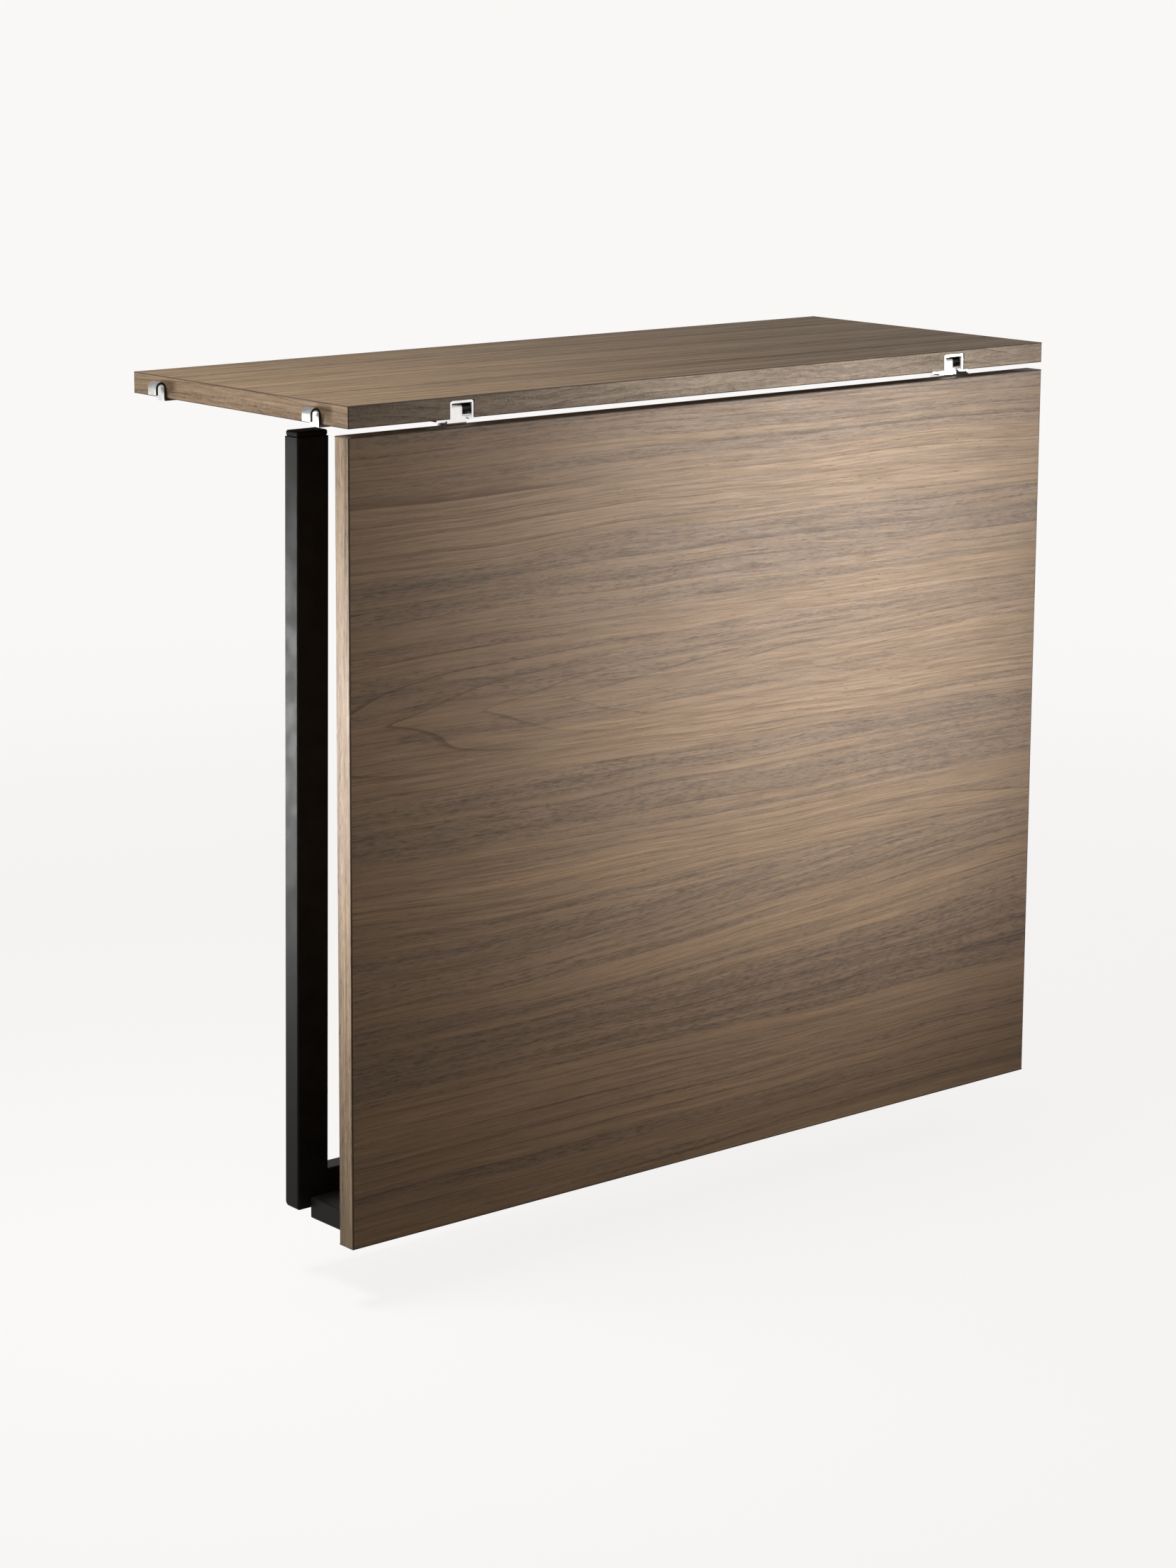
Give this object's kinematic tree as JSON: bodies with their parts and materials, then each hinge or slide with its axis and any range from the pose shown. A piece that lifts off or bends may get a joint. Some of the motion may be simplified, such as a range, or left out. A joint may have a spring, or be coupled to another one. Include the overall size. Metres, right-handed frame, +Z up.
{
  "type": "wall mounted drop leaf table",
  "caption": "Shelf that hooks onto a wall rack, with a hinged drop leaf that folds up into a table top and a fold-out leg frame behind it.",
  "frame": {"origin": "middle of the shelf's back edge face, halfway up the board, where it meets the rack or wall", "axes": "+X to the right along the shelf, +Y backwards into the wall, +Z up; stored folded, with the leaf hanging and the leg frame upright behind it"},
  "size_m": [0.8008, 0.3, 0.6846],
  "materials": {
    "walnut_veneer": "satin lacquered walnut veneer",
    "walnut_band": "satin lacquered walnut edge band",
    "black_lacquer": "matt black lacquered wood",
    "beech": "plain beech",
    "hook_steel": "satin steel strip",
    "bright_nickel": "bright nickel plated steel",
    "zinc": "zinc plated steel",
    "black_steel": "blackened steel",
    "black_plastic": "matt black plastic"
  },
  "bodies": {
    "shelf": {"shelf_panel": "walnut_veneer", "shelf_front_band": "walnut_band", "shelf_back_band": "walnut_band", "shelf_left_band": "walnut_band", "shelf_right_band": "walnut_band", "left_front_hook": "hook_steel", "left_rear_hook": "hook_steel", "right_front_hook": "hook_steel", "right_rear_hook": "hook_steel", "hook_screws": "zinc", "left_leaf_hinge_bracket": "bright_nickel", "right_leaf_hinge_bracket": "bright_nickel", "left_leaf_hinge_pin": "black_steel", "right_leaf_hinge_pin": "black_steel", "leaf_bracket_screws": "zinc"},
    "leaf": {"leaf_panel": "walnut_veneer", "leaf_top_band": "walnut_band", "leaf_bottom_band": "walnut_band", "leaf_left_band": "walnut_band", "leaf_right_band": "walnut_band", "left_leaf_hinge_strap": "bright_nickel", "right_leaf_hinge_strap": "bright_nickel", "leaf_strap_screws": "zinc", "leg_beam": "black_lacquer", "beam_screws": "zinc", "left_leg_hinge_strap": "bright_nickel", "right_leg_hinge_strap": "bright_nickel", "leg_plate_screws": "zinc"},
    "leg_frame": {"left_leg": "black_lacquer", "right_leg": "black_lacquer", "cross_rail": "black_lacquer", "rail_dowels": "beech", "left_foot": "black_plastic", "right_foot": "black_plastic", "left_leg_hinge_bracket": "bright_nickel", "right_leg_hinge_bracket": "bright_nickel", "left_leg_hinge_pin": "black_steel", "right_leg_hinge_pin": "black_steel", "leg_bracket_screws": "zinc"}
  },
  "joints": [
    {"name": "leaf_fold", "type": "hinge", "parent": "shelf", "child": "leaf", "pos_m": [0, -0.2886, -0.0024], "axis": [-1, 0, 0], "range_deg": [0, 90]},
    {"name": "leg_fold", "type": "hinge", "parent": "leaf", "child": "leg_frame", "pos_m": [0, -0.206, -0.66208], "axis": [-1, 0, 0], "range_deg": [0, 90.75]}
  ]
}
